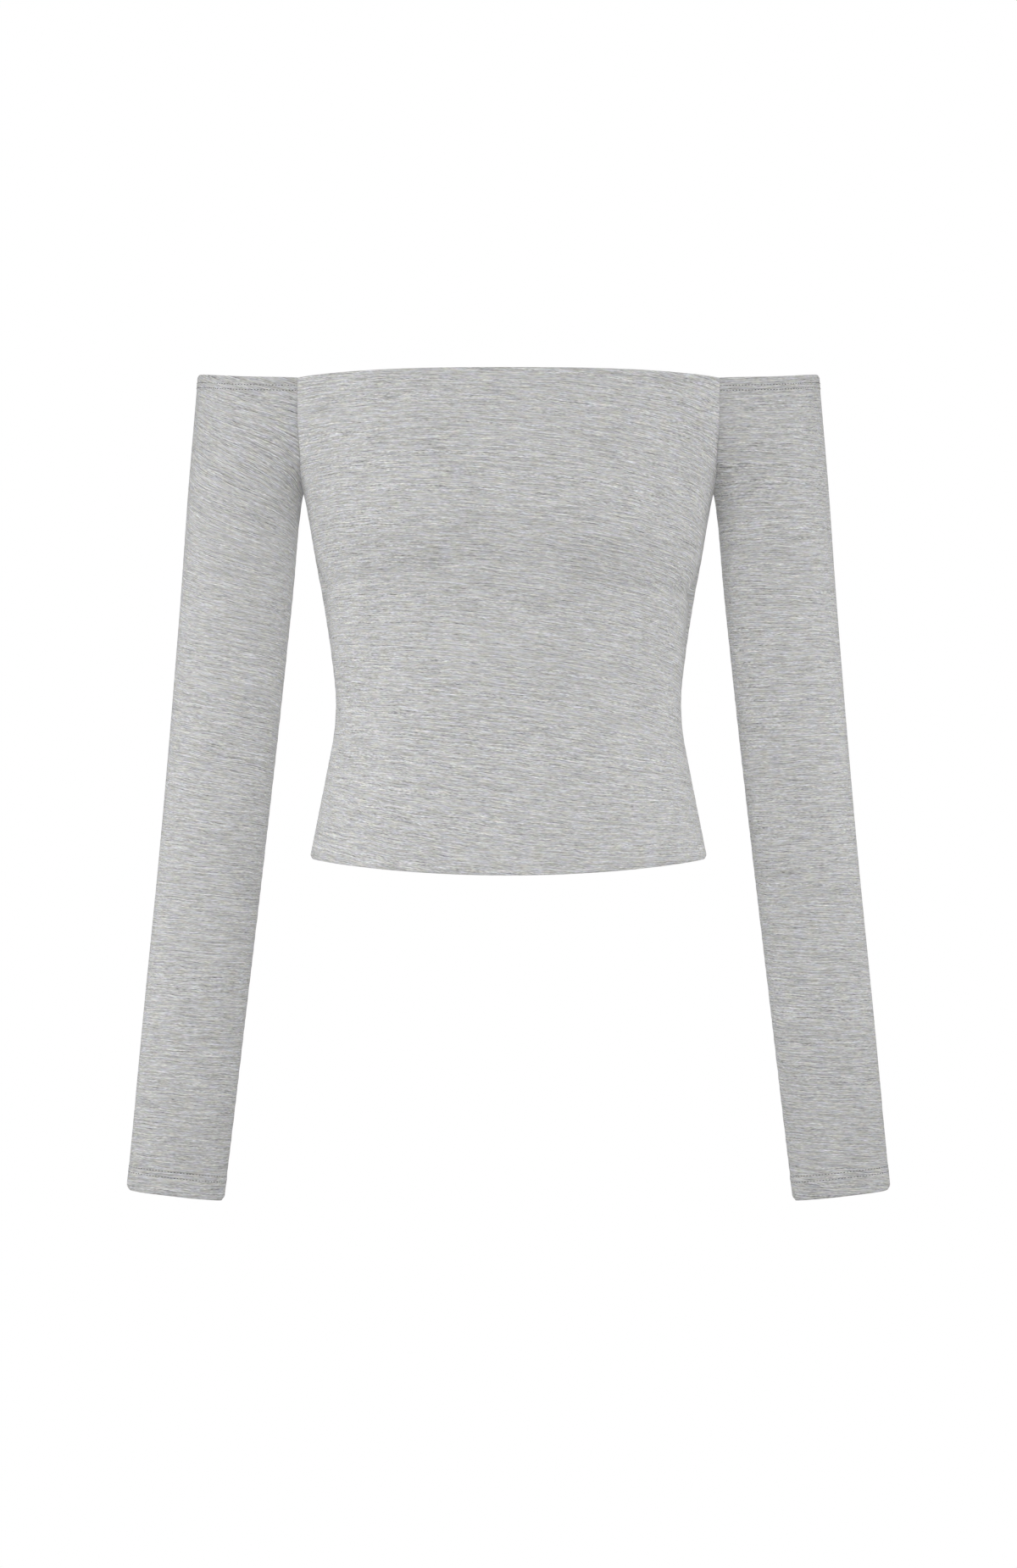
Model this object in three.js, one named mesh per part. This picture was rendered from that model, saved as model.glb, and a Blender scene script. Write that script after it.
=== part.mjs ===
// A fitted off-the-shoulder top in heather grey jersey, filled out as if worn: a front and a back body panel
// joined at side seams, and two long set-in sleeves whose tops finish level with the neckline.
// Millimetres, +Z up, the front faces -Y. The origin is on the centre line, inside the band that grips the chest.
// "Drop" is the distance below the neckline edge, and each panel is a thin wall round its own hollow.

import * as THREE from "three";

// Driving sizes
const GRIP_BELOW_NECK = 20;
const BODY_LENGTH = 340.2;
const SLEEVE_LENGTH = 576.3;

// The armhole is a U: its drop, its reach in front of and behind the side line, and the power that rounds it
const ARMHOLE_DROP = 82;
const ARMHOLE_REACH = { front: 50, back: 48 };
const ARMHOLE_CURVE = 0.7;

// The neckline dips to the armholes and rises again over the arms, and the hem dips at the centre
const NECK_DIP = 3.8;
const NECK_DIP_POWER = 3;
const SLEEVE_TOP_RISE = 5;
const HEM_DIP = 10.2;
const HEM_DIP_FADE = 110;

// The cuff lies square across an arm that leans outwards: its slope
const CUFF_SLANT = 0.1127;

// Cloth: the body panels are double jersey, the sleeves single
const BODY_WALL = 1.8;
const SLEEVE_WALL = 1.4;
const SEAM_GAP = 0.3;

// Body sections: half width, and depth of the front and the back at the centre line. Above the armpit the
// armhole cuts each section short of its full width.
const BODY_SECTIONS = [
  { drop: 0, half: 170.1, front: 84, back: 80 },
  { drop: 32, half: 162.9, front: 91, back: 87 },
  { drop: 59, half: 152.3, front: 97, back: 92 },
  { drop: 82, half: 145, front: 101, back: 95 },
  { drop: 107, half: 140.1, front: 102, back: 94.5 },
  { drop: 131, half: 136.2, front: 98, back: 92 },
  { drop: 155, half: 131.7, front: 91, back: 87.5 },
  { drop: 179, half: 127.8, front: 85, back: 82 },
  { drop: 203, half: 124.5, front: 81, back: 78 },
  { drop: 227, half: 122.1, front: 79, back: 76 },
  { drop: 251, half: 123.3, front: 79.5, back: 78 },
  { drop: 275, half: 127.6, front: 82.5, back: 83.5 },
  { drop: 311, half: 134.7, front: 87.5, back: 93 },
  { drop: 341, half: 140.7, front: 91, back: 99 },
];
const BODY_SQUARENESS = { front: 2.4, back: 2.5 };

// Soft fullness over the general figure under the cloth: how far it stands out, and where it fades
const FULLNESS = {
  front: [{ out: 8, x: 70, drop: 100, wide: 40, above: 52, below: 34 }],
  back: [
    { out: 3, x: 62, drop: 62, wide: 34, above: 45, below: 50 },
    { out: -2, x: 0, drop: 225, wide: 25, above: 70, below: 60 },
  ],
};
const FULLNESS_FADE_POWER = 6;

// Sleeve sections: centre from the centre line, half width, half depth, and how far back the centre lies
const SLEEVE_SECTIONS = [
  { drop: 0, centre: 172, half: 47.6, depth: 52, back: 0 },
  { drop: 41, centre: 178, half: 45.2, depth: 49.5, back: 0 },
  { drop: 82, centre: 186, half: 40.7, depth: 42.5, back: 0 },
  { drop: 155, centre: 192.5, half: 39.6, depth: 36, back: 3 },
  { drop: 251, centre: 201.5, half: 38.4, depth: 31.5, back: 4 },
  { drop: 347, centre: 211, half: 37.2, depth: 28, back: 1 },
  { drop: 443, centre: 221, half: 36.3, depth: 23, back: -6 },
  { drop: 539, centre: 230.5, half: 35.1, depth: 18, back: -16 },
  { drop: 585, centre: 235.3, half: 34.5, depth: 16, back: -20 },
];
const SLEEVE_SQUARENESS = 2.2;
// How closely the sleeve's draw towards the armhole seam keeps to the seam
const SEAM_PULL_POWER = 4;

// Mesh counts
const PANEL_COLUMNS = 26;
const ARMHOLE_STEPS = 8;
const BODY_ROWS = 15;
const SLEEVE_COLUMNS = 32;
const SLEEVE_ROWS = 14;
const ARC_SAMPLES = 96;

const JERSEY = { color: 0xb9b9b8, roughness: 0.9, metalness: 0 };

// A column of a section table at any drop, as a smooth curve through its rows
function along(table, column, drop) {
  const last = table.length - 1;
  const at = Math.min(Math.max(drop, table[0].drop), table[last].drop);
  let i = 0;
  while (i < last - 1 && table[i + 1].drop < at) i += 1;
  const slope = (k) => {
    const a = table[Math.max(k - 1, 0)];
    const b = table[Math.min(k + 1, last)];
    return (b[column] - a[column]) / (b.drop - a.drop);
  };
  const span = table[i + 1].drop - table[i].drop;
  const t = (at - table[i].drop) / span;
  return hermite(table[i][column], table[i + 1][column], slope(i) * span, slope(i + 1) * span, t);
}

function hermite(from, to, leaving, arriving, t) {
  const t2 = t * t;
  const t3 = t2 * t;
  return (
    (2 * t3 - 3 * t2 + 1) * from + (t3 - 2 * t2 + t) * leaving + (3 * t2 - 2 * t3) * to + (t3 - t2) * arriving
  );
}

const smooth = (t) => THREE.MathUtils.smoothstep(t, 0, 1);
// How far out a rounded square of this power lies in a direction, next to a circle
const squareness = (c, s, power) => (Math.abs(c) ** power + Math.abs(s) ** power) ** (-1 / power);
const heightAt = (drop) => GRIP_BELOW_NECK - drop;

// How far in front of or behind the side line the armhole edge lies. It is a U that ends under the arm.
function armholeReach(side, drop) {
  const share = Math.min(drop / ARMHOLE_DROP, 1);
  return Math.max(ARMHOLE_REACH[side] * (1 - share ** 3) ** ARMHOLE_CURVE, SEAM_GAP / 2);
}

// How much of a body section's half width is left at the armhole edge or the side seam
function widthLeft(side, drop) {
  const reach = armholeReach(side, drop) / along(BODY_SECTIONS, side, drop);
  return (1 - reach ** BODY_SQUARENESS[side]) ** (1 / BODY_SQUARENESS[side]);
}

const edgeHalf = (side, drop) => along(BODY_SECTIONS, "half", drop) * widthLeft(side, drop);

// Drops that spread points evenly along the armhole's U
const armholeDrop = (step) => ARMHOLE_DROP * Math.sin(((step / ARMHOLE_STEPS) * Math.PI) / 2) ** (2 / 3);

function fullness(side, x, drop, edge) {
  const fade = 1 - (x / edge) ** FULLNESS_FADE_POWER;
  return FULLNESS[side].reduce((sum, f) => {
    const down = (drop - f.drop) / (drop < f.drop ? f.above : f.below);
    const across = (Math.abs(x) - f.x) / f.wide;
    return sum + f.out * fade * Math.exp(-across * across - down * down);
  }, 0);
}

// The neckline dips towards the armholes, and the hem dips at the centre
function bodyHeight(drop, share) {
  const neck = NECK_DIP * share ** NECK_DIP_POWER * (1 - smooth(drop / ARMHOLE_DROP));
  const hem = HEM_DIP * (1 - share ** 2) * smooth((drop - BODY_LENGTH + HEM_DIP_FADE) / HEM_DIP_FADE);
  return heightAt(drop) - neck - hem;
}

// One row of a body panel, at even steps along the cloth from one side edge to the other
function bodyRow(side, drop, columns) {
  const power = BODY_SQUARENESS[side];
  const depth = along(BODY_SECTIONS, side, drop);
  const half = along(BODY_SECTIONS, "half", drop);
  const edge = edgeHalf(side, drop);
  const start = Math.atan2(armholeReach(side, drop) / depth, widthLeft(side, drop));
  const outward = side === "front" ? -1 : 1;
  const sampled = [];
  for (let i = 0; i <= ARC_SAMPLES; i += 1) {
    const angle = Math.PI - start - (i / ARC_SAMPLES) * (Math.PI - 2 * start);
    const c = Math.cos(angle);
    const s = Math.sin(angle);
    const scale = squareness(c, s, power);
    const x = half * c * scale;
    const y = depth * s * scale + fullness(side, x, drop, edge);
    sampled.push(new THREE.Vector3(x, outward * y, bodyHeight(drop, Math.abs(x) / edge)));
  }
  return spread(sampled, columns);
}

// Points at even distances along a line of samples
function spread(samples, steps) {
  const lengths = [0];
  for (let i = 1; i < samples.length; i += 1) {
    lengths.push(lengths[i - 1] + samples[i].distanceTo(samples[i - 1]));
  }
  const total = lengths[lengths.length - 1];
  const points = [];
  let k = 0;
  for (let i = 0; i <= steps; i += 1) {
    const wanted = (total * i) / steps;
    while (k < samples.length - 2 && lengths[k + 1] < wanted) k += 1;
    const t = (wanted - lengths[k]) / (lengths[k + 1] - lengths[k]);
    points.push(samples[k].clone().lerp(samples[k + 1], t));
  }
  return points;
}

// A body panel's outer face: rows down the armholes, then down the side seams to the hem
function bodyGrid(side) {
  const drops = [];
  for (let i = 0; i < ARMHOLE_STEPS; i += 1) drops.push(armholeDrop(i));
  for (let i = 0; i <= BODY_ROWS; i += 1) {
    drops.push(ARMHOLE_DROP + ((BODY_LENGTH - ARMHOLE_DROP) * i) / BODY_ROWS);
  }
  return drops.map((drop) => bodyRow(side, drop, PANEL_COLUMNS));
}

// A point of the sleeve at an angle from the outside of the arm, positive round the front. Above the armpit the
// rows are level with the body's, and below it they tilt until the cuff lies square across the arm.
function sleevePoint(hand, rowDrop, angle) {
  const c = Math.cos(angle);
  const s = Math.sin(angle);
  const slant = (CUFF_SLANT * Math.max(rowDrop - ARMHOLE_DROP, 0)) / (SLEEVE_LENGTH - ARMHOLE_DROP);
  const drop = rowDrop - slant * along(SLEEVE_SECTIONS, "half", rowDrop) * c;
  const scale = squareness(c, s, SLEEVE_SQUARENESS);
  const x = along(SLEEVE_SECTIONS, "centre", drop) + along(SLEEVE_SECTIONS, "half", drop) * c * scale;
  const y = along(SLEEVE_SECTIONS, "back", drop) - along(SLEEVE_SECTIONS, "depth", drop) * s * scale;
  const lift = (SLEEVE_TOP_RISE * Math.max(c, 0) ** 2 - NECK_DIP) * (1 - smooth(drop / ARMHOLE_DROP));
  return new THREE.Vector3(hand * x, y, heightAt(drop) + lift);
}

// A point of the sleeve's seam with the body, just outside the body's own armhole edge
function armholePoint(hand, side, drop) {
  const x = edgeHalf(side, drop) + SEAM_GAP;
  const reach = drop < ARMHOLE_DROP ? armholeReach(side, drop) : 0;
  return new THREE.Vector3(hand * x, (side === "front" ? -1 : 1) * reach, bodyHeight(drop, 1));
}

// One row of the sleeve, from the front of the armhole round the outside of the arm to the back of the armhole.
// Near its ends the row is drawn in to the seam. From the armpit down it is a whole ring.
function sleeveRow(hand, drop) {
  const ends = ["front", "back"].map((side) => {
    const depth = along(SLEEVE_SECTIONS, "depth", drop);
    const swing = Math.PI - (drop < ARMHOLE_DROP ? Math.asin(armholeReach(side, drop) / depth) : 0);
    const free = sleevePoint(hand, drop, side === "front" ? swing : -swing);
    const pull = armholePoint(hand, side, Math.min(drop, ARMHOLE_DROP)).sub(free);
    return { swing, pull: drop > ARMHOLE_DROP ? new THREE.Vector3() : pull };
  });
  const sampled = [];
  for (let i = 0; i <= ARC_SAMPLES; i += 1) {
    const share = 1 - (2 * i) / ARC_SAMPLES;
    const end = share > 0 ? ends[0] : ends[1];
    const point = sleevePoint(hand, drop, share * end.swing);
    sampled.push(point.addScaledVector(end.pull, Math.abs(share) ** SEAM_PULL_POWER));
  }
  return spread(sampled, SLEEVE_COLUMNS);
}

function sleeveGrid(hand) {
  const drops = [];
  for (let i = 0; i < ARMHOLE_STEPS; i += 1) drops.push(armholeDrop(i));
  for (let i = 0; i <= SLEEVE_ROWS; i += 1) {
    drops.push(ARMHOLE_DROP + ((SLEEVE_LENGTH - ARMHOLE_DROP) * i) / SLEEVE_ROWS);
  }
  return drops.map((drop) => sleeveRow(hand, drop));
}

// The level outward direction at a point of a row. From the row "closedFrom" down the row is a ring.
function outwardAt(grid, row, column, closedFrom) {
  const last = grid[0].length - 1;
  const closed = row >= closedFrom;
  const left = closed && column === 0 ? last - 1 : Math.max(column - 1, 0);
  const right = closed && column === last ? 1 : Math.min(column + 1, last);
  const across = grid[row][right].clone().sub(grid[row][left]);
  const onSideSeam = column % last === 0 && Math.abs(grid[row][column].y) < SEAM_GAP;
  return new THREE.Vector3(across.y, onSideSeam ? 0 : -across.x, 0).normalize();
}

// A closed wall of cloth whose outer face is a grid of rows from the top down, and a tube from "closedFrom" down
function clothWall(grid, thickness, closedFrom) {
  const high = grid.length;
  const last = grid[0].length - 1;
  const points = [...grid.flat()];
  grid.forEach((row, r) =>
    row.forEach((point, c) => {
      points.push(point.clone().addScaledVector(outwardAt(grid, r, c, closedFrom), -thickness));
    }),
  );
  const outer = (r, c) => r * (last + 1) + (r >= closedFrom && c === last ? 0 : c);
  const inner = (r, c) => high * (last + 1) + outer(r, c);
  const faces = [];
  const triangle = (a, b, c) => {
    if (a !== b && b !== c && c !== a) faces.push(a, b, c);
  };
  const quad = (a, b, c, d) => {
    triangle(a, b, c);
    triangle(a, c, d);
  };
  for (let r = 0; r < high - 1; r += 1) {
    for (let c = 0; c < last; c += 1) {
      quad(outer(r, c), outer(r + 1, c), outer(r + 1, c + 1), outer(r, c + 1));
      quad(inner(r, c), inner(r, c + 1), inner(r + 1, c + 1), inner(r + 1, c));
    }
    if (r < closedFrom) {
      quad(outer(r + 1, 0), outer(r, 0), inner(r, 0), inner(r + 1, 0));
      quad(outer(r, last), outer(r + 1, last), inner(r + 1, last), inner(r, last));
    }
  }
  for (let c = 0; c < last; c += 1) {
    quad(outer(0, c), outer(0, c + 1), inner(0, c + 1), inner(0, c));
    quad(outer(high - 1, c + 1), outer(high - 1, c), inner(high - 1, c), inner(high - 1, c + 1));
  }
  const geometry = new THREE.BufferGeometry();
  geometry.setAttribute("position", new THREE.Float32BufferAttribute(points.flatMap((p) => p.toArray()), 3));
  geometry.setIndex(faces);
  geometry.computeVertexNormals();
  return geometry;
}

function piece(name, geometry) {
  const mesh = new THREE.Mesh(geometry, new THREE.MeshStandardMaterial(JERSEY));
  mesh.name = name;
  return mesh;
}

function bodyPanel(side) {
  const grid = bodyGrid(side);
  if (side === "back") grid.forEach((row) => row.reverse());
  return piece(side, clothWall(grid, BODY_WALL, Infinity));
}

function sleeve(name, hand) {
  const grid = sleeveGrid(hand);
  if (hand < 0) grid.forEach((row) => row.reverse());
  return piece(name, clothWall(grid, SLEEVE_WALL, ARMHOLE_STEPS));
}

const top = new THREE.Group();
top.add(bodyPanel("front"), bodyPanel("back"), sleeve("sleeve_left", -1), sleeve("sleeve_right", 1));

export default top;
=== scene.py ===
"""A fitted off-the-shoulder top in heather grey jersey, filled out as if worn.

Two body panels and two long set-in sleeves are thin shells of cloth on their solids' form, with creases,
rolled seams, turned edges and stitches. Lengths of the garment are millimetres here, and its meshes are
metres. The front faces -Y and +Z is up. "Drop" is the distance below the neckline, and "across" is measured
level along the cloth, from the middle of the piece.
"""

import math

import bpy
import numpy as np
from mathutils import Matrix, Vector, kdtree


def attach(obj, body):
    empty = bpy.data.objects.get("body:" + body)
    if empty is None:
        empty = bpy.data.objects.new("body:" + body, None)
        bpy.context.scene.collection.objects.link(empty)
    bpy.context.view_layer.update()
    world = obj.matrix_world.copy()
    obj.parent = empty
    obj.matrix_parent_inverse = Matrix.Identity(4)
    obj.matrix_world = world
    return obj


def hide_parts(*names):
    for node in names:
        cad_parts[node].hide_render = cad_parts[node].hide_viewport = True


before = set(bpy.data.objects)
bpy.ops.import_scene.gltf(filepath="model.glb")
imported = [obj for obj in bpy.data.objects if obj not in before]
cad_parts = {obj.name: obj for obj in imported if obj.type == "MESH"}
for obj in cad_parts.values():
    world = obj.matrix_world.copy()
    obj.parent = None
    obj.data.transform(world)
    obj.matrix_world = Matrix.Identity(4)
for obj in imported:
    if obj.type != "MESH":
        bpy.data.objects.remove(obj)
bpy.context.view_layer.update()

METRE = 0.001

# The cut and the figure, as in the solids
GRIP_BELOW_NECK = 20
BODY_LENGTH = 340.2
SLEEVE_LENGTH = 576.3
ARMHOLE_DROP = 82
ARMHOLE_REACH = {"front": 50, "back": 48}
ARMHOLE_CURVE = 0.7
NECK_DIP = 3.8
NECK_DIP_POWER = 3
SLEEVE_TOP_RISE = 5
HEM_DIP = 10.2
HEM_DIP_FADE = 110
CUFF_SLANT = 0.1127
BODY_SQUARENESS = {"front": 2.4, "back": 2.5}
SLEEVE_SQUARENESS = 2.2
SEAM_PULL_POWER = 4
SEAM_GAP = 0.02
BODY_WALL = 1.8
SLEEVE_WALL = 1.4

BODY_SECTIONS = {
    "drop": [0, 32, 59, 82, 107, 131, 155, 179, 203, 227, 251, 275, 311, 341],
    "half": [170.1, 162.9, 152.3, 145, 140.1, 136.2, 131.7, 127.8, 124.5, 122.1, 123.3, 127.6, 134.7, 140.7],
    "front": [84, 91, 97, 101, 102, 98, 91, 85, 81, 79, 79.5, 82.5, 87.5, 91],
    "back": [80, 87, 92, 95, 94.5, 92, 87.5, 82, 78, 76, 78, 83.5, 93, 99],
}
SLEEVE_SECTIONS = {
    "drop": [0, 41, 82, 155, 251, 347, 443, 539, 585],
    "centre": [172, 178, 186, 192.5, 201.5, 211, 221, 230.5, 235.3],
    "half": [47.6, 45.2, 40.7, 39.6, 38.4, 37.2, 36.3, 35.1, 34.5],
    "depth": [52, 49.5, 42.5, 36, 31.5, 28, 23, 18, 16],
    "back": [0, 0, 0, 3, 4, 1, -6, -16, -20],
}
# Soft fullness: out, x, drop, wide, above, below. The last two in front are not in the solids
FULLNESS = {
    "front": [(8, 70, 100, 40, 52, 34), (3.8, 0, 0, 120, 20, 26), (6.5, 0, 216, 90, 46, 62)],
    "back": [(3, 62, 62, 34, 45, 50), (-2, 0, 225, 25, 70, 60)],
}
FULLNESS_FADE_POWER = 6

# Mesh steps: closer rows at the armpit and near the top and bottom edges, and closer columns near the seams
ROW_STEP = {"body": 2.2, "sleeve": 2.7}
ARMPIT_ROWS = [76, 77.6, 79, 80, 80.8, 81.4, 81.8, 82]
TOP_ROWS = {"body": np.arange(1.5, 5, 0.7), "sleeve": np.arange(1.4, 11, 0.7)}
BOTTOM_ROWS = {"body": np.arange(1.5, 5, 0.7), "sleeve": np.arange(1.4, 19, 0.8)}
COLUMNS = {"body": 160, "sleeve": 104}
EDGE_STATIONS = np.array([0, 0.5, 1.1, 1.9, 3.0, 4.5])
ARC_SAMPLES = 480
SEAM_STEP = 0.4
RIM_STEPS = 4
SHARP_ANGLE = 48

# Seams: both edges roll in over this width, by this much, with small uneven puckers along them
ROLL_WIDE = 2.0
ROLL_DEEP = 0.9
ROLL_FADE = 14
PUCKER_DEEP = 0.12
PUCKER_PITCH = 11
PUCKER_WIDE = 7
PUCKER_CLEAR = 1.5
PUCKER_DRIFT = 1.7
PUCKER_DRIFT_RATE = 0.23

# Near a seam both pieces' cloth is laid thick the same way, so that no slit shows on the inside
SHARED_WIDE = 6

# The cloth also sinks gently towards the armhole seams
VALLEY_WIDE = {"body": 15, "sleeve": 26}
VALLEY_DEEP = {"left": 2.0, "right": 3.0}

# Under the bust the front tucks in along a line and eases out again towards the waist
TUCK = {
    "across": [-200, -130, -108, -90, -66, -33, 0, 34, 66, 90, 109, 135, 200],
    "drop": [148, 146, 145, 142, 139, 133, 135, 143, 149, 152, 153, 153, 153],
    "deep": [2.8, 2.8, 2.6, 2.4, 2.0, 1.7, 1.5, 1.4, 1.5, 2.0, 2.6, 3.4, 3.4],
    "fold": [2.2, 2.4, 2.2, 1.7, 1.4, 1.1, 0.9, 0.5, 0.5, 0.9, 1.6, 2.8, 2.8],
}
TUCK_ABOVE = 32
TUCK_BELOW = 75
TUCK_FOLD_WIDE = 4.6

# Creases, curled top edges and the tuck fade out this near a seam
CALM_WIDE = {"body": 12, "sleeve": 10}
TUCK_CALM_WIDE = 6

# A crease has a raised shoulder on one side of its trough
SHOULDER_HIGH = 0.5
SHOULDER_AWAY = 1.9
SHOULDER_WIDE = 1.4
CREASE_TAPER = 1.5

# Free edges round in, fully where the cloth turns away to the sides and hardly at all in front
CURL_TOP = 2.2
CURL_BOTTOM = 3.8
CURL_IN_FRONT = 0.1
CURL_POWER = 4

# Turned edges at the sleeve tops and cuffs, with two rows of stitches each
TOP_HEM = {"wide": 10, "rows": (5.3, 8.8)}
CUFF_HEM = {"wide": 18, "rows": (12.4, 16.4)}
TOP_FLARE = 1.3
HEM_RAISED = 0.25
HEM_RAISED_FADE = 2.5
HEM_DOUBLED = 0.8
HEM_DOUBLED_FADE = 1.5
HEM_EDGE_FADE = 2
STITCH_GROOVE = {"deep": 0.22, "wide": 0.7}
STITCH_PITCH = 2.2
STITCH_LONG = 1.25
STITCH_THICK = 0.5
STITCH_SIDES = 6
STITCH_SEED_STEP = 10

# Each stitch's outline, as places along it and widths there, and how deep its ends go into the cloth
STITCH_PROFILE = [(-0.5, 0.25), (-0.4, 0.75), (-0.15, 1.0), (0.15, 1.0), (0.4, 0.75), (0.5, 0.25)]
STITCH_LIFT = 0.35
STITCH_DIVE = 0.75

# How unevenly a stitch lies: along the row, in length, beside the row and in thickness
STITCH_SLIP = 0.12
STITCH_LENGTHS = (0.86, 1.08)
STITCH_STRAY = 0.1
STITCH_WIDTHS = (0.9, 1.1)


def smooth(t):
    """A soft step from 0 to 1."""
    t = np.clip(t, 0, 1)
    return t * t * (3 - 2 * t)


def along(table, column, drop):
    """A column of a section table at any drops, as a smooth curve through its rows."""
    at = np.array(table["drop"], float)
    value = np.array(table[column], float)
    last = len(at) - 1
    drop = np.clip(drop, at[0], at[-1])
    i = np.clip(np.searchsorted(at, drop, side="left") - 1, 0, last - 1)
    before = np.maximum(i - 1, 0)
    after = np.minimum(i + 2, last)
    span = at[i + 1] - at[i]
    leaving = (value[i + 1] - value[before]) / (at[i + 1] - at[before]) * span
    arriving = (value[after] - value[i]) / (at[after] - at[i]) * span
    t = (drop - at[i]) / span
    from_part = (2 * t**3 - 3 * t**2 + 1) * value[i] + (t**3 - 2 * t**2 + t) * leaving
    return from_part + (3 * t**2 - 2 * t**3) * value[i + 1] + (t**3 - t**2) * arriving


def squareness(c, s, power):
    """The scale that makes a circle a rounded square, for the cosine and sine of an angle."""
    return (np.abs(c) ** power + np.abs(s) ** power) ** (-1 / power)


def armhole_reach(side, drop):
    """How far in front of or behind the side line the armhole edge lies."""
    share = np.minimum(drop / ARMHOLE_DROP, 1)
    return np.maximum(ARMHOLE_REACH[side] * (1 - share**3) ** ARMHOLE_CURVE, SEAM_GAP / 2)


def width_left(side, drop):
    """The share of a section's half width at which a body panel ends."""
    power = BODY_SQUARENESS[side]
    reach = armhole_reach(side, drop) / along(BODY_SECTIONS, side, drop)
    return (1 - reach**power) ** (1 / power)


def edge_half(side, drop):
    """How far from the centre line a body panel ends."""
    return along(BODY_SECTIONS, "half", drop) * width_left(side, drop)


def fullness(side, x, drop, edge):
    """How far the soft fullness of the figure pushes a body panel out."""
    fade = 1 - (x / edge) ** FULLNESS_FADE_POWER
    total = np.zeros_like(x)
    for out, at_x, at_drop, wide, above, below in FULLNESS[side]:
        down = (drop - at_drop) / np.where(drop < at_drop, above, below)
        beside = (np.abs(x) - at_x) / wide
        total += out * fade * np.exp(-(beside**2) - down**2)
    return total


def body_height(drop, share):
    """The height of a body panel's rows. The share is 0 at the centre line and 1 where the panel ends."""
    neck = NECK_DIP * share**NECK_DIP_POWER * (1 - smooth(drop / ARMHOLE_DROP))
    hem = HEM_DIP * (1 - share**2) * smooth((drop - BODY_LENGTH + HEM_DIP_FADE) / HEM_DIP_FADE)
    return GRIP_BELOW_NECK - drop - neck - hem


def arc_places(line):
    """How far along a line each of its points is."""
    steps = np.linalg.norm(np.diff(line[:, :3], axis=0), axis=1)
    return np.concatenate([[0], np.cumsum(steps)])


def at_places(wanted, place, table):
    """A table's rows at any places along a line, between the rows whose places are known."""
    return np.stack([np.interp(wanted, place, column) for column in table.T], axis=-1)


def spread(samples, columns):
    """Rows of points, set near the ends and evenly spread between, and how far across each one is."""
    points = []
    across = []
    for row in samples:
        place = arc_places(row)
        long = place[-1]
        inner = np.linspace(EDGE_STATIONS[-1], long - EDGE_STATIONS[-1], columns)
        wanted = np.concatenate([EDGE_STATIONS[:-1], inner, long - EDGE_STATIONS[-2::-1]])
        points.append(at_places(wanted, place, row))
        across.append(wanted - long / 2)
    return np.array(points), np.array(across)


def row_drops(kind, length, rim):
    """Drops of a piece's rows, with closer ones near its edges and where the armhole's U closes."""
    step = ROW_STEP[kind]
    above = np.linspace(rim, ARMPIT_ROWS[0], round(ARMPIT_ROWS[0] / step))[:-1]
    below = np.linspace(ARMHOLE_DROP, length - rim, round((length - ARMHOLE_DROP) / step))[1:]
    drops = np.concatenate([above, ARMPIT_ROWS, below, TOP_ROWS[kind], length - BOTTOM_ROWS[kind]])
    return np.unique(np.round(drops, 3))


def body_rows(side, drops):
    """A body panel's outer face, from -X to +X at the front and from +X to -X at the back."""
    drop = drops[:, None]
    power = BODY_SQUARENESS[side]
    depth = along(BODY_SECTIONS, side, drop)
    half = along(BODY_SECTIONS, "half", drop)
    edge = edge_half(side, drop)
    start = np.arctan2(armhole_reach(side, drop) / depth, width_left(side, drop))
    angle = math.pi - start - np.linspace(0, 1, ARC_SAMPLES)[None, :] * (math.pi - 2 * start)
    c = np.cos(angle)
    s = np.sin(angle)
    scale = squareness(c, s, power)
    x = half * c * scale
    y = depth * s * scale + fullness(side, x, drop, edge)
    z = body_height(drop, np.minimum(np.abs(x) / edge, 1))
    outward = -1 if side == "front" else 1
    samples = np.stack([x, outward * y, z], axis=2)
    if side == "back":
        samples = samples[:, ::-1]
    return spread(samples, COLUMNS["body"])


def sleeve_point(hand, row_drop, angle):
    """A place on a sleeve's plain tube. The angle is 0 on the outside of the arm."""
    c = np.cos(angle)
    s = np.sin(angle)
    slant = CUFF_SLANT * np.maximum(row_drop - ARMHOLE_DROP, 0) / (SLEEVE_LENGTH - ARMHOLE_DROP)
    drop = row_drop - slant * along(SLEEVE_SECTIONS, "half", row_drop) * c
    scale = squareness(c, s, SLEEVE_SQUARENESS)
    x = along(SLEEVE_SECTIONS, "centre", drop) + along(SLEEVE_SECTIONS, "half", drop) * c * scale
    y = along(SLEEVE_SECTIONS, "back", drop) - along(SLEEVE_SECTIONS, "depth", drop) * s * scale
    fade = 1 - smooth(drop / ARMHOLE_DROP)
    lift = (SLEEVE_TOP_RISE * np.maximum(c, 0) ** 2 - NECK_DIP) * fade
    return np.stack([hand * x, y, GRIP_BELOW_NECK - drop + lift], axis=-1)


def armhole_point(hand, side, drop):
    """A place on the armhole's edge, just outside the body panel."""
    x = edge_half(side, drop) + SEAM_GAP
    reach = np.where(drop < ARMHOLE_DROP, armhole_reach(side, drop), 0)
    outward = -1 if side == "front" else 1
    return np.stack([hand * x, outward * reach, body_height(drop, 1)], axis=-1)


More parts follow.
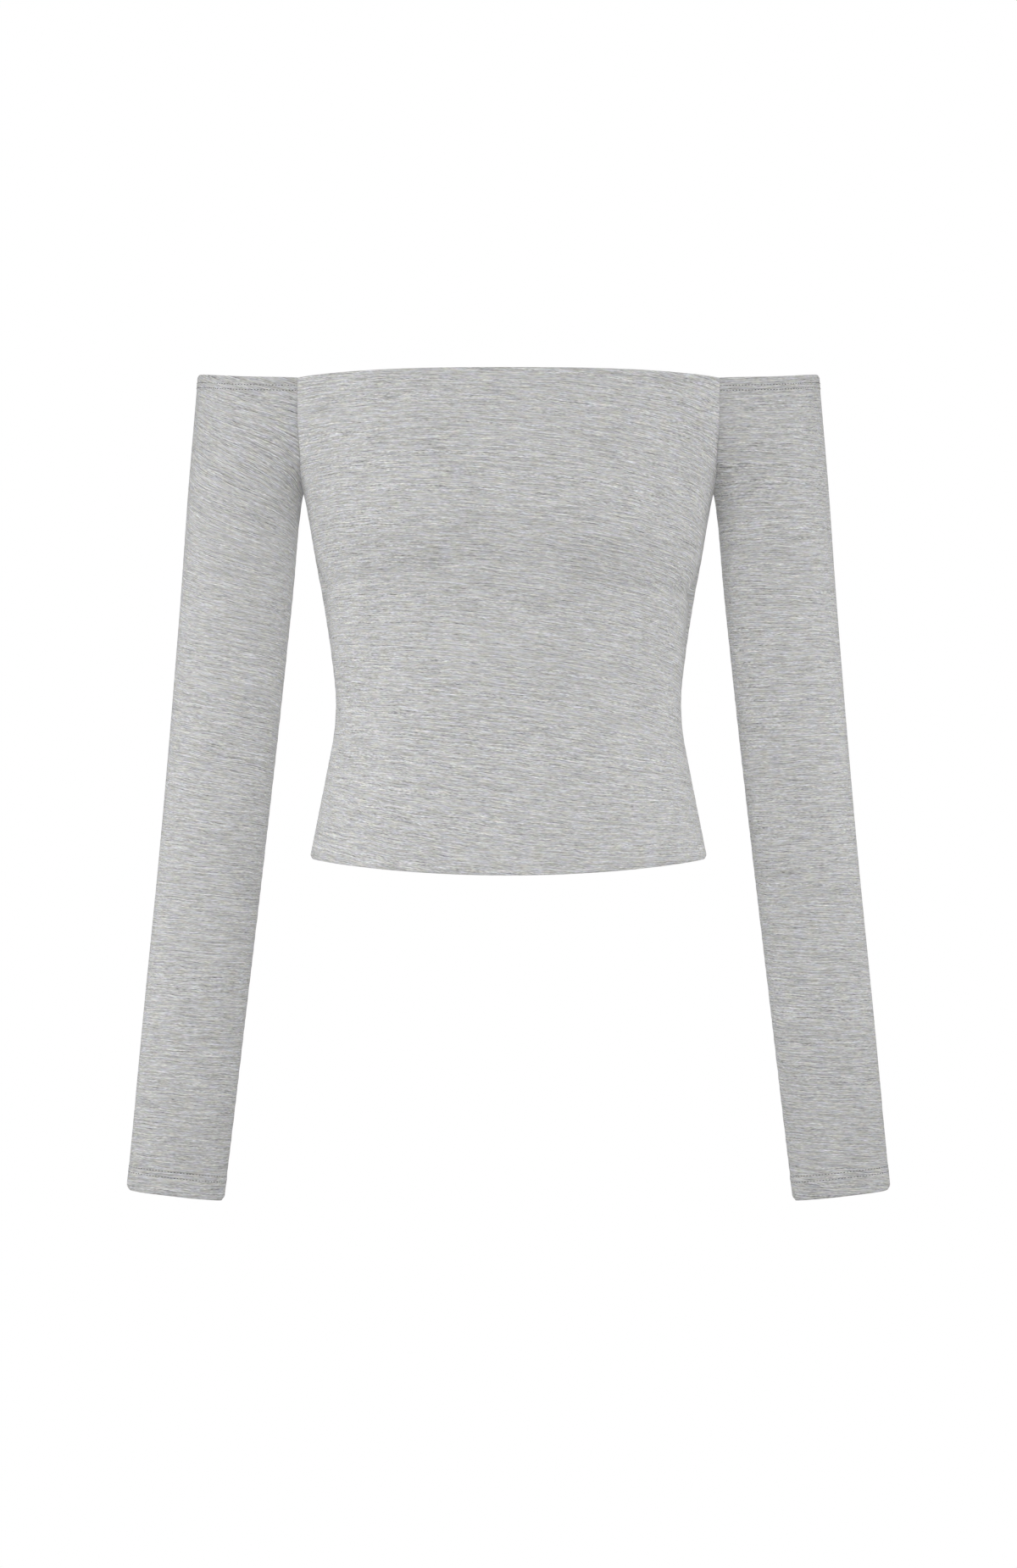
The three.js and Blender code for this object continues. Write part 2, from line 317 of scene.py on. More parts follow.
def sleeve_rows(hand, drops):
    """A sleeve's outer face, from the front of the armhole round the outside of the arm to its back."""
    share = np.linspace(1, -1, ARC_SAMPLES)[None, :]
    swings = {}
    pulls = {}
    for side, turn in (("front", 1), ("back", -1)):
        depth = along(SLEEVE_SECTIONS, "depth", drops)
        open_by = np.where(drops < ARMHOLE_DROP, np.arcsin(armhole_reach(side, drops) / depth), 0)
        swings[side] = math.pi - open_by
        free = sleeve_point(hand, drops, turn * swings[side])
        pull = armhole_point(hand, side, np.minimum(drops, ARMHOLE_DROP)) - free
        pulls[side] = np.where((drops > ARMHOLE_DROP)[:, None], 0, pull)
    swing = np.where(share > 0, swings["front"][:, None], swings["back"][:, None])
    pull = np.where((share > 0)[:, :, None], pulls["front"][:, None, :], pulls["back"][:, None, :])
    points = sleeve_point(hand, np.broadcast_to(drops[:, None], swing.shape), share * swing)
    points = points + pull * (np.abs(share) ** SEAM_PULL_POWER)[:, :, None]
    if hand < 0:
        points = points[:, ::-1]
    return spread(points, COLUMNS["sleeve"])


def level_normals(grid, ring):
    """Level outward directions. Rows where ring is true are closed rings."""
    before = np.concatenate([grid[:, :1], grid[:, :-1]], axis=1)
    after = np.concatenate([grid[:, 1:], grid[:, -1:]], axis=1)
    before[ring, 0] = grid[ring, -2]
    after[ring, -1] = grid[ring, 1]
    side = after - before
    normal = np.stack([side[..., 1], -side[..., 0], np.zeros(side.shape[:2])], axis=2)
    for column in (0, -1):
        on_side_seam = np.abs(grid[:, column, 1]) < 2 * SEAM_GAP
        normal[on_side_seam, column, 1] = 0
    return normal / np.linalg.norm(normal, axis=2, keepdims=True)


def creases(across, drop, table):
    """How far the listed creases move the cloth out, each with a trough and a shoulder beside it."""
    total = np.zeros_like(across)
    for at, down, angle, long, wide, deep, bend in table:
        turn = math.radians(angle)
        right = across - at
        up = down - drop
        run = right * math.cos(turn) + up * math.sin(turn)
        beside = -right * math.sin(turn) + up * math.cos(turn) - bend * run**2 / long
        taper = np.clip(1 - (2 * run / long) ** 2, 0, 1) ** CREASE_TAPER
        trough = np.exp(-((beside / wide) ** 2))
        shoulder = np.exp(-(((beside - SHOULDER_AWAY * wide) / (SHOULDER_WIDE * wide)) ** 2))
        total += deep * taper * (SHOULDER_HIGH * shoulder - trough)
    return total


# Creases: across from the piece's middle, drop, angle, long, wide, deep, bend
FRONT_CREASES = [
    (-152, 166, 16, 46, 3.6, 0.5, -0.1),
    (-88, 126, 12, 60, 4.6, 0.6, 0.05),
    (70, 128, -8, 70, 4.6, 0.5, 0.05),
    (148, 172, -14, 44, 3.6, 0.7, 0.1),
    (-122, 118, 38, 52, 5.5, 0.5, 0.1),
    (120, 112, -42, 56, 5.5, 0.5, -0.1),
    (-78, 116, 14, 74, 11.0, 0.8, 0.0),
    (-96, 214, 6, 70, 5.0, 0.35, 0.05),
    (88, 232, -5, 62, 4.6, 0.35, 0.05),
    (-128, 246, 10, 44, 4.0, 0.4, 0.1),
    (126, 206, -12, 48, 4.2, 0.4, -0.1),
    (12, 196, 3, 80, 6.5, 0.25, 0.05),
    (-150, 62, 52, 50, 4.5, 0.45, 0.1),
    (152, 58, -55, 46, 4.5, 0.45, -0.1),
    (-108, 300, -16, 60, 5.5, 0.3, 0.1),
    (112, 296, 18, 56, 5.5, 0.3, 0.1),
]
BACK_CREASES = [
    (-30, 196, 4, 120, 6.0, 0.9, 0.1),
    (26, 212, -3, 130, 5.5, 1.1, 0.12),
    (-48, 231, 7, 104, 5.0, 0.9, 0.08),
    (40, 247, -6, 112, 5.5, 0.8, 0.1),
    (-10, 263, 2, 92, 5.0, 0.5, 0.06),
    (-118, 218, 14, 66, 4.2, 0.7, 0.1),
    (120, 226, -12, 60, 4.2, 0.7, 0.1),
    (-124, 150, 24, 50, 4.6, 0.5, 0.1),
    (126, 142, -26, 54, 4.4, 0.5, -0.1),
    (-146, 64, 50, 52, 4.5, 0.5, 0.1),
    (148, 60, -52, 48, 4.5, 0.5, -0.1),
    (-70, 110, 30, 60, 6.5, 0.35, 0.1),
    (78, 116, -28, 56, 6.5, 0.35, 0.1),
]
LEFT_CREASES = [
    (96, 96, 28, 46, 4.4, 0.6, 0.1),
    (98, 118, 22, 40, 4.0, 0.5, 0.1),
    (70, 140, 12, 58, 5.5, 0.4, 0.05),
    (66, 236, 16, 62, 4.6, 0.55, 0.1),
    (84, 254, 6, 56, 4.0, 0.6, -0.1),
    (76, 274, -10, 60, 4.6, 0.5, 0.1),
    (-74, 246, -14, 60, 5.0, 0.6, 0.1),
    (-88, 264, 6, 54, 4.2, 0.6, 0.1),
    (-70, 100, -26, 50, 5.0, 0.5, 0.1),
    (56, 372, 12, 52, 5.0, 0.35, 0.1),
    (-50, 392, -10, 54, 5.0, 0.4, 0.1),
    (48, 470, -8, 50, 4.4, 0.4, 0.1),
    (60, 492, 10, 44, 4.0, 0.4, -0.1),
    (-46, 482, 9, 52, 4.4, 0.4, 0.1),
    (20, 516, 4, 48, 4.6, 0.3, 0.1),
]
RIGHT_CREASES = [
    (-98, 94, -26, 46, 4.4, 0.6, 0.1),
    (-94, 122, -18, 42, 4.2, 0.5, -0.1),
    (-62, 152, -10, 54, 5.5, 0.4, 0.05),
    (-70, 228, -14, 60, 4.6, 0.5, 0.1),
    (-86, 250, -4, 58, 4.2, 0.6, 0.1),
    (-72, 270, 10, 56, 4.4, 0.5, -0.1),
    (72, 240, 14, 62, 5.0, 0.6, 0.1),
    (86, 260, -6, 52, 4.2, 0.6, 0.1),
    (72, 104, 24, 50, 5.0, 0.5, 0.1),
    (-52, 360, -12, 54, 5.0, 0.35, 0.1),
    (54, 384, 10, 52, 5.0, 0.4, 0.1),
    (-50, 462, 9, 48, 4.4, 0.4, 0.1),
    (-58, 498, -9, 46, 4.0, 0.4, 0.1),
    (48, 476, -10, 50, 4.4, 0.4, 0.1),
    (-16, 520, -4, 50, 4.6, 0.3, 0.1),
]


def seam_lines(grid, ring, normal, drops):
    """The two seams of a piece, as rows that hold a point, the way in, the cloth's dip and the way run.

    They are so close that the nearest of them gives the distance from the seam well enough.
    """
    count = len(grid)
    points = np.concatenate([grid[:, 0], grid[:, -1]])
    inward = np.concatenate([-normal[:, 0], -normal[:, -1]])
    drop = np.concatenate([drops, drops])
    on_armhole = drop < ARMHOLE_DROP
    to_middle = np.stack([np.zeros(2 * count), -np.sign(points[:, 1]), np.zeros(2 * count)], axis=1)
    above_armpit = np.clip(np.abs(points[:, 1]) / ROLL_FADE, 0, 1)
    below_armpit = smooth((drop - ARMHOLE_DROP) / ROLL_FADE)
    amount = np.where(on_armhole, above_armpit, below_armpit)
    push = np.where(on_armhole[:, None], to_middle, inward) * amount[:, None]
    if ring.any():
        push[count:][ring] = push[:count][ring]
    dip = np.where(points[:, 0] < 0, VALLEY_DEEP["left"], VALLEY_DEEP["right"]) * on_armhole
    coarse = np.column_stack([points, push, dip])
    lines = []
    for line in (coarse[:count], coarse[count:]):
        place = arc_places(line)
        run = np.arange(0, place[-1], SEAM_STEP)
        lines.append(np.column_stack([at_places(run, place, line), run]))
    return np.concatenate(lines)


def seam_roll(kind, grid, ring, normal, drops):
    """How the cloth moves in towards the hollow near a seam, how far off the seam is, and the way in."""
    lines = seam_lines(grid, ring, normal, drops)
    tree = kdtree.KDTree(len(lines))
    for i, point in enumerate(lines[:, :3]):
        tree.insert(point, i)
    tree.balance()
    found = [tree.find(point) for point in grid.reshape(-1, 3)]
    nearest = lines[[hit[1] for hit in found]].reshape(*grid.shape[:2], -1)
    away = np.array([hit[2] for hit in found]).reshape(grid.shape[:2])
    push = nearest[..., 3:6]
    dip = nearest[..., 6]
    run = nearest[..., 7]
    roll = ROLL_DEEP * np.clip(1 - away / ROLL_WIDE, 0, 1) ** 2
    valley = dip * (1 - smooth(away / VALLEY_WIDE[kind]))
    turn = run / PUCKER_PITCH * 2 * math.pi
    wave = np.sin(turn + PUCKER_DRIFT * np.sin(turn * PUCKER_DRIFT_RATE))
    near = np.exp(-((away / PUCKER_WIDE) ** 2)) * np.clip(away / PUCKER_CLEAR, 0, 1)
    total = roll + valley + PUCKER_DEEP * wave * near
    move = push * total[..., None]
    move[ring, -1] = move[ring, 0]
    return move, away, push


def outward_way(normal, push, away):
    """The way out through the cloth, which both pieces share along a seam."""
    share = (1 - smooth(away / SHARED_WIDE))[:, :, None]
    amount = np.linalg.norm(push, axis=2, keepdims=True)
    way = normal * (1 - share * amount) - push * share
    return way / np.linalg.norm(way, axis=2, keepdims=True)


def curl(drop, length, normal, calm):
    """How far the cloth rounds in near its bottom edge, and near its top edge away from the armholes."""
    total = np.zeros_like(drop)
    for edge, rounding, share in ((drop, CURL_TOP, calm), (length - drop, CURL_BOTTOM, 1)):
        into = np.clip(1 - edge / rounding, 0, 1)
        total = total - share * rounding * (1 - np.sqrt(1 - into**2))
    return total * (CURL_IN_FRONT + (1 - CURL_IN_FRONT) * np.abs(normal[..., 0]) ** CURL_POWER)


def tuck(across, drop):
    """How far the front sinks in under the bust, softly and along a narrow fold."""
    columns = ("drop", "deep", "fold")
    line, deep, fold = [np.interp(across, TUCK["across"], TUCK[column]) for column in columns]
    above = smooth((drop - line + TUCK_ABOVE) / TUCK_ABOVE)
    below = 1 - smooth((drop - line) / TUCK_BELOW)
    narrow = np.exp(-(((drop - line) / TUCK_FOLD_WIDE) ** 2))
    return -deep * np.where(drop < line, above, below) - fold * narrow


def shell(name, outer, normal, wall, ring, across, grain):
    """A closed shell of cloth: an outer face, a folded edge below, an inner face and a folded edge on top.

    Across and grain become the cloth's own measure. Rows where ring is true are closed rings.
    """
    rows, columns = outer.shape[:2]
    inner = outer - normal * wall[:, :, None]
    turns = np.arange(1, RIM_STEPS + 1) / (RIM_STEPS + 1) * math.pi
    up = np.array([0.0, 0.0, 1.0])

    def rim(row, sign):
        centre = (outer[row] + inner[row]) / 2
        radius = wall[row][:, None] / 2
        return [centre + sign * radius * (normal[row] * math.cos(t) - up * math.sin(t)) for t in turns]

    loop = np.concatenate([outer, rim(-1, 1), inner[::-1], rim(0, -1)])
    low_radius = wall[-1].mean() / 2
    top_radius = wall[0].mean() / 2
    v_down = [grain[-1] + low_radius * t for t in turns]
    v_inner = 2 * grain[-1] + 4 * low_radius - grain[::-1]
    v_top = [grain[0] - top_radius * (math.pi - t) for t in turns]
    v = np.concatenate([grain, v_down, v_inner, v_top])
    u = np.concatenate([across, [across[-1]] * RIM_STEPS, across[::-1], [across[0]] * RIM_STEPS])
    closed = np.concatenate([ring, [ring[-1]] * RIM_STEPS, ring[::-1], [ring[0]] * RIM_STEPS])
    index = np.arange(len(loop) * columns).reshape(len(loop), columns)
    index[closed, -1] = index[closed, 0]
    below = np.roll(index, -1, axis=0)
    quads = np.stack([index[:, :-1], below[:, :-1], below[:, 1:], index[:, 1:]], axis=2)

    # The faces between the inner face and the top edge go on in the top edge's measure
    v_here = v.copy()
    v_here[2 * rows + RIM_STEPS - 1] = v_top[0] - top_radius * (math.pi - turns[-1])
    u_below = np.roll(u, -1, axis=0)
    v_below = np.roll(v, -1, axis=0)
    corners = [
        (u[:, :-1], v_here[:, :-1]),
        (u_below[:, :-1], v_below[:, :-1]),
        (u_below[:, 1:], v_below[:, 1:]),
        (u[:, 1:], v_here[:, 1:]),
    ]
    measure = np.stack([np.stack(corner, axis=2) for corner in corners], axis=2)
    faces = quads.reshape(-1, 4).tolist()
    loops = measure.reshape(-1, 4, 2).tolist()

    def inner_row(row):
        return rows + RIM_STEPS + (rows - 1 - row)

    def cap(chain, column):
        """Closes the cut edge of the cloth in an open row."""
        face = []
        for item in chain:
            if index[item, column] not in face:
                face.append(index[item, column])
        if len(face) > 2:
            faces.append([int(i) for i in face])
            loops.append([(u[chain[0], column], v[chain[0], column])] * len(face))

    top_rim = list(range(len(loop) - RIM_STEPS, len(loop)))
    low_rim = list(range(rows, rows + RIM_STEPS))
    for row in range(rows - 1):
        if not ring[row]:
            cap([row + 1, row, inner_row(row), inner_row(row + 1)], 0)
            cap([row, row + 1, inner_row(row + 1), inner_row(row)], columns - 1)
    cap([inner_row(0), 0, *top_rim[::-1]], 0)
    cap([0, inner_row(0), *top_rim], columns - 1)
    if not ring[-1]:
        cap([rows - 1, inner_row(rows - 1), *low_rim[::-1]], 0)
        cap([inner_row(rows - 1), rows - 1, *low_rim], columns - 1)
    return make_mesh(name, loop.reshape(-1, 3), faces, loops)


def make_mesh(name, points, faces, loops):
    """An object from points in millimetres, with the cloth's own measure as its UV map in metres."""
    used = np.zeros(len(points), bool)
    for face in faces:
        used[face] = True
    renumber = np.cumsum(used) - 1
    renumbered = [[int(renumber[i]) for i in face] for face in faces]
    mesh = bpy.data.meshes.new(name)
    mesh.from_pydata((points[used] * METRE).tolist(), [], renumbered)
    layer = mesh.uv_layers.new(name="cloth")
    flat = np.array([value for face in loops for pair in face for value in pair]) * METRE
    layer.data.foreach_set("uv", flat)
    mesh.shade_smooth()
    mesh.set_sharp_from_angle(angle=math.radians(SHARP_ANGLE))
    mesh.update()
    item = bpy.data.objects.new(name, mesh)
    bpy.context.scene.collection.objects.link(item)
    return item


def stitch_row(points, normals, seed):
    """Small rounded stitches laid end to end along a line of cloth. Gives their points and faces."""
    rng = np.random.default_rng(seed)
    place = arc_places(points)
    verts = []
    faces = []
    for i in range(int(place[-1] // STITCH_PITCH)):
        middle = (i + 0.5) * STITCH_PITCH + rng.uniform(-STITCH_SLIP, STITCH_SLIP)
        long = STITCH_LONG * rng.uniform(*STITCH_LENGTHS)
        start = at_places(middle - long / 2, place, points)
        end = at_places(middle + long / 2, place, points)
        normal = at_places(middle, place, normals)
        normal /= np.linalg.norm(normal)
        run = end - start
        beside = np.cross(normal, run)
        beside /= np.linalg.norm(beside)
        centre = (start + end) / 2 + beside * rng.uniform(-STITCH_STRAY, STITCH_STRAY)
        radius = STITCH_THICK / 2 * rng.uniform(*STITCH_WIDTHS)
        first = len(verts)
        for share, wide in STITCH_PROFILE:
            sink = normal * radius * (STITCH_LIFT - STITCH_DIVE * (2 * share) ** 2)
            for k in range(STITCH_SIDES):
                turn = 2 * math.pi * k / STITCH_SIDES
                rim = beside * math.cos(turn) + normal * math.sin(turn)
                verts.append(centre + run * share + rim * radius * wide + sink)
        last = first + (len(STITCH_PROFILE) - 1) * STITCH_SIDES
        for lower in range(first, last, STITCH_SIDES):
            for k in range(STITCH_SIDES):
                a = lower + k
                b = lower + (k + 1) % STITCH_SIDES
                faces.append([a, b, b + STITCH_SIDES, a + STITCH_SIDES])
        faces.append([first + k for k in range(STITCH_SIDES)][::-1])
        faces.append([last + k for k in range(STITCH_SIDES)])
    return verts, faces


# Materials

# Noises of the jersey: grains a metre across and down, detail, roughness, start
JERSEY_NOISES = {
    "wave": (45, 60, 1, 0.5, 3.1),
    "slip": (4, 700, 0, 0.5, 71.9),
    "streaks": (90, 1400, 1.0, 0.5, 11.3),
    "flecks": (420, 1650, 1.0, 0.5, 47.9),
    "long_streaks": (40, 1100, 1.0, 0.5, 83.2),
    "mottle": (28, 60, 2.0, 0.6, 5.7),
    "red_or_blue": (110, 620, 1, 0.5, 61.3),
    "green": (150, 700, 1, 0.5, 29.1),
    "relief": (900, 1400, 2, 0.6, 21.7),
}

# A noise starts this many times further down the cloth than across it
START_DOWN = 1.7

# How much each heather layer adds to the tone
HEATHER_STRENGTHS = {"streaks": 0.62, "flecks": 0.62, "long_streaks": 0.42, "mottle": 0.04}

# How high the grain's lines wave, in metres, and how far rows slip sideways, in grains
WAVE_HIGH = 0.0009
ROW_SLIP = 9

# Tints: as their noise goes through this span, a colour's factor goes through its own
TINT_SPAN = (0.25, 0.75)
RED_TINT = (0.99, 1.01)
GREEN_TINT = (0.965, 1.035)
BLUE_TINT = (1.07, 0.93)

# Colours and finishes. The relief's height is in metres
BASE_COLOUR = (0.545, 0.545, 0.5435)
# The sleeves' copy of the jersey is painted darker than the body's, as painted shade for the lower light on
# the sleeves
SLEEVE_PAINTED_SHADE = 0.96
JERSEY_ROUGHNESS = (0.82, 0.98)
RELIEF_STRENGTH = 0.35
RELIEF_HIGH = 0.00025
JERSEY_SHADER = {"Specular IOR Level": 0.2, "Sheen Weight": 0.12, "Sheen Roughness": 0.5}
THREAD_SHADER = {"Roughness": 0.7, "Specular IOR Level": 0.25}
THREAD_GRAINS = 420
# The thread's tones are darkened as painted shade of its needle holes
THREAD_PAINTED_SHADE_TONES = [(0.46, (0.05, 0.05, 0.05, 1)), (0.7, (0.3, 0.3, 0.296, 1))]
WHITE = (1, 1, 1, 1)
FLOOR_COLOUR = (0.86, 0.86, 0.86, 1)
FLOOR_GLOW = 0.45
FLOOR_SHADER = {
    "Base Color": FLOOR_COLOUR,
    "Roughness": 0.9,
    "Specular IOR Level": 0.1,
    "Emission Color": WHITE,
}


class Nodes:
    """A small helper that adds nodes to one material and links them."""

    def __init__(self, name, shader_values):
        self.material = bpy.data.materials.new(name)
        self.material.use_nodes = True
        self.tree = self.material.node_tree
        self.shader = self.tree.nodes["Principled BSDF"]
        for socket, value in shader_values.items():
            self.shader.inputs[socket].default_value = value

    def add(self, kind):
        return self.tree.nodes.new(kind)

    def link(self, source, target):
        self.tree.links.new(source, target)

    def set(self, socket, value):
        if hasattr(value, "is_linked"):
            self.link(value, socket)
        else:
            socket.default_value = value

    def math(self, operation, *values):
        node = self.add("ShaderNodeMath")
        node.operation = operation
        for socket, value in zip(node.inputs, values):
            self.set(socket, value)
        return node.outputs[0]

    def remap(self, value, low, high, to_low, to_high):
        node = self.add("ShaderNodeMapRange")
        names = ("From Min", "From Max", "To Min", "To Max")
        for name, number in zip(names, (low, high, to_low, to_high)):
            node.inputs[name].default_value = number
        self.set(node.inputs["Value"], value)
        return node.outputs["Result"]

    def noise(self, grains, shift, slip=None):
        """Noise of the cloth, with grains as in JERSEY_NOISES. Slip shifts its rows sideways."""
        across, down, detail, roughness, start = grains
        start += shift
        x = self.math("MULTIPLY_ADD", self.across, across, start)
        if slip is not None:
            x = self.math("ADD", x, slip)
        y = self.math("MULTIPLY_ADD", self.down, down, start * START_DOWN)
        joined = self.add("ShaderNodeCombineXYZ")
        self.set(joined.inputs[0], x)
        self.set(joined.inputs[1], y)
        node = self.add("ShaderNodeTexNoise")
        node.noise_dimensions = "2D"
        node.inputs["Scale"].default_value = 1
        node.inputs["Detail"].default_value = detail
        node.inputs["Roughness"].default_value = roughness
        self.link(joined.outputs[0], node.inputs["Vector"])
        return node.outputs["Fac"]

    def cloth_measure(self):
        """Takes the cloth's own measure, across and down in metres, with the grain's lines gently wavy."""
        uv = self.add("ShaderNodeUVMap")
        uv.uv_map = "cloth"
        apart = self.add("ShaderNodeSeparateXYZ")
        self.link(uv.outputs[0], apart.inputs[0])
        self.across = apart.outputs[0]
        self.down = apart.outputs[1]
        wave = self.noise(JERSEY_NOISES["wave"], 0)
        self.down = self.math("ADD", apart.outputs[1], self.remap(wave, 0, 1, -WAVE_HIGH, WAVE_HIGH))


def heather(name, shift, painted_shade=1.0):
    """Grey melange jersey: pale and dark fibres in short streaks, a fine knit relief and a soft nap."""
    n = Nodes(name, JERSEY_SHADER)
    n.cloth_measure()
    # A factor below 1 darkens this copy of the jersey as painted shade
    tone = painted_shade
    slip = n.math("MULTIPLY", n.noise(JERSEY_NOISES["slip"], shift), ROW_SLIP)
    for layer, strength in HEATHER_STRENGTHS.items():
        grain = n.noise(JERSEY_NOISES[layer], shift, slip)
        tone = n.math("ADD", n.math("MULTIPLY_ADD", grain, strength * 2, -strength), tone)
    red_or_blue = n.noise(JERSEY_NOISES["red_or_blue"], shift)
    red = n.math("MULTIPLY", tone, n.remap(red_or_blue, *TINT_SPAN, *RED_TINT))
    blue = n.math("MULTIPLY", tone, n.remap(red_or_blue, *TINT_SPAN, *BLUE_TINT))
    leaf = n.noise(JERSEY_NOISES["green"], shift)
    green = n.math("MULTIPLY", tone, n.remap(leaf, *TINT_SPAN, *GREEN_TINT))
    joined = n.add("ShaderNodeCombineColor")
    for socket, value, base in zip(joined.inputs, (red, green, blue), BASE_COLOUR):
        n.set(socket, n.math("MULTIPLY", value, base))
    n.link(joined.outputs[0], n.shader.inputs["Base Color"])
    relief = n.noise(JERSEY_NOISES["relief"], shift)
    bump = n.add("ShaderNodeBump")
    bump.inputs["Strength"].default_value = RELIEF_STRENGTH
    bump.inputs["Distance"].default_value = RELIEF_HIGH
    n.link(relief, bump.inputs["Height"])
    n.link(bump.outputs[0], n.shader.inputs["Normal"])
    n.link(n.remap(relief, 0, 1, *JERSEY_ROUGHNESS), n.shader.inputs["Roughness"])
    return n.material


def thread(name):
    """Grey sewing thread with odd pale places, its colour painted near black as painted shade of the needle
    holes it sits in.
    """
    n = Nodes(name, THREAD_SHADER)
    place = n.add("ShaderNodeTexCoord")
    grain = n.add("ShaderNodeTexNoise")
    grain.inputs["Scale"].default_value = THREAD_GRAINS
    grain.inputs["Detail"].default_value = 1
    n.link(place.outputs["Object"], grain.inputs["Vector"])
    ramp = n.add("ShaderNodeValToRGB")
    for stop, (at, colour) in zip(ramp.color_ramp.elements, THREAD_PAINTED_SHADE_TONES):
        stop.position = at
        stop.color = colour
    n.link(grain.outputs["Fac"], ramp.inputs[0])
    n.link(ramp.outputs[0], n.shader.inputs["Base Color"])
    return n.material


def pale_floor(name):
    """A matt floor that glows to the camera alone, so that it looks pale and lights nothing more."""
    n = Nodes(name, FLOOR_SHADER)
    rays = n.add("ShaderNodeLightPath")
    glow = n.remap(rays.outputs["Is Camera Ray"], 0, 1, 0, FLOOR_GLOW)
    n.link(glow, n.shader.inputs["Emission Strength"])
    return n.material


# The run of the grain, by drop: how far its lines rise from the sides to the middle, and how they lean
BODY_GRAIN = {
    "drop": [0, 30, 60, 100, 150, 200, 270, 341],
    "rise": [3, 8, 16, 20, 17, 10, 7, 0],
    "lean": [0.05, 0.07, 0.08, 0.09, 0.1, 0.11, 0.11, 0.08],
}
SLEEVE_GRAIN = {
    "drop": [0, 30, 60, 80, 110, 150, 190, 280, 330, 430, 576],
    "left": [-0.2, -0.24, -0.36, -0.42, -0.4, -0.27, -0.17, -0.14, -0.05, 0.02, 0.02],
    "right": [0.02, -0.04, -0.05, 0.0, 0.02, -0.04, -0.02, 0.0, -0.05, -0.11, -0.15],
}


def body_panel(side, table, shift):
    """The front or back panel. Its material's noises start at the shift."""
    drops = row_drops("body", BODY_LENGTH, BODY_WALL / 2)
    grid, across = body_rows(side, drops)
    ring = np.zeros(len(drops), bool)
    normal = level_normals(grid, ring)
    drop = np.broadcast_to(drops[:, None], across.shape)
    roll, away, push = seam_roll("body", grid, ring, normal, drops)
    calm = smooth(away / CALM_WIDE["body"])
    swell = creases(across, drop, table) * calm + curl(drop, BODY_LENGTH, normal, calm)
    if side == "front":
        swell = swell + tuck(across, drop) * smooth(away / TUCK_CALM_WIDE)
    outer = grid + roll + normal * swell[:, :, None]
    half = across[:, -1:]
    rise = np.interp(drop, BODY_GRAIN["drop"], BODY_GRAIN["rise"])
    lean = np.interp(drop, BODY_GRAIN["drop"], BODY_GRAIN["lean"])
    grain = drop - rise * (across / half) ** 2 - lean * across
    wall = np.full(across.shape, BODY_WALL)
    piece = shell(f"{side}_cloth", outer, outward_way(normal, push, away), wall, ring, across, grain)
    piece.data.materials.append(heather(f"jersey_{side}", shift))
    return piece


def hem_raise(distance, hem):
    """How far a turned edge stands out, with grooves under its stitches, at a distance from the edge."""
    raised = HEM_RAISED * (1 - smooth((distance - hem["rows"][1]) / HEM_RAISED_FADE))
    for row in hem["rows"]:
        raised = raised - STITCH_GROOVE["deep"] * np.exp(-(((distance - row) / STITCH_GROOVE["wide"]) ** 2))
    return raised


def sleeve_wall(drop):
    """The cloth's thickness, doubled a little at both turned edges but not at their folds."""
    from_cuff = SLEEVE_LENGTH - drop
    top = 1 - smooth((drop - TOP_HEM["wide"]) / HEM_DOUBLED_FADE)
    cuff = smooth((CUFF_HEM["wide"] - from_cuff) / HEM_DOUBLED_FADE)
    off_fold = np.clip(np.minimum(drop, from_cuff) / HEM_EDGE_FADE, 0, 1)
    return SLEEVE_WALL + HEM_DOUBLED * (top + cuff) * off_fold


def hem_stitches(name, hand, drops, outer, normal):
    """All the stitches of a sleeve's two turned edges, as one piece."""
    lines = [*TOP_HEM["rows"], *(SLEEVE_LENGTH - row for row in CUFF_HEM["rows"])]
    points = []
    faces = []
    for k, line in enumerate(lines):
        row = int(np.argmin(np.abs(drops - line)))
        verts, quads = stitch_row(outer[row], normal[row], STITCH_SEED_STEP * k + hand + 1)
        faces += [[i + len(points) for i in quad] for quad in quads]
        points += verts
    mesh = bpy.data.meshes.new(name)
    mesh.from_pydata((np.array(points) * METRE).tolist(), [], faces)
    mesh.shade_smooth()
    mesh.materials.append(painted_shade_thread_material)
    stitches = bpy.data.objects.new(name, mesh)
    bpy.context.scene.collection.objects.link(stitches)
    return stitches


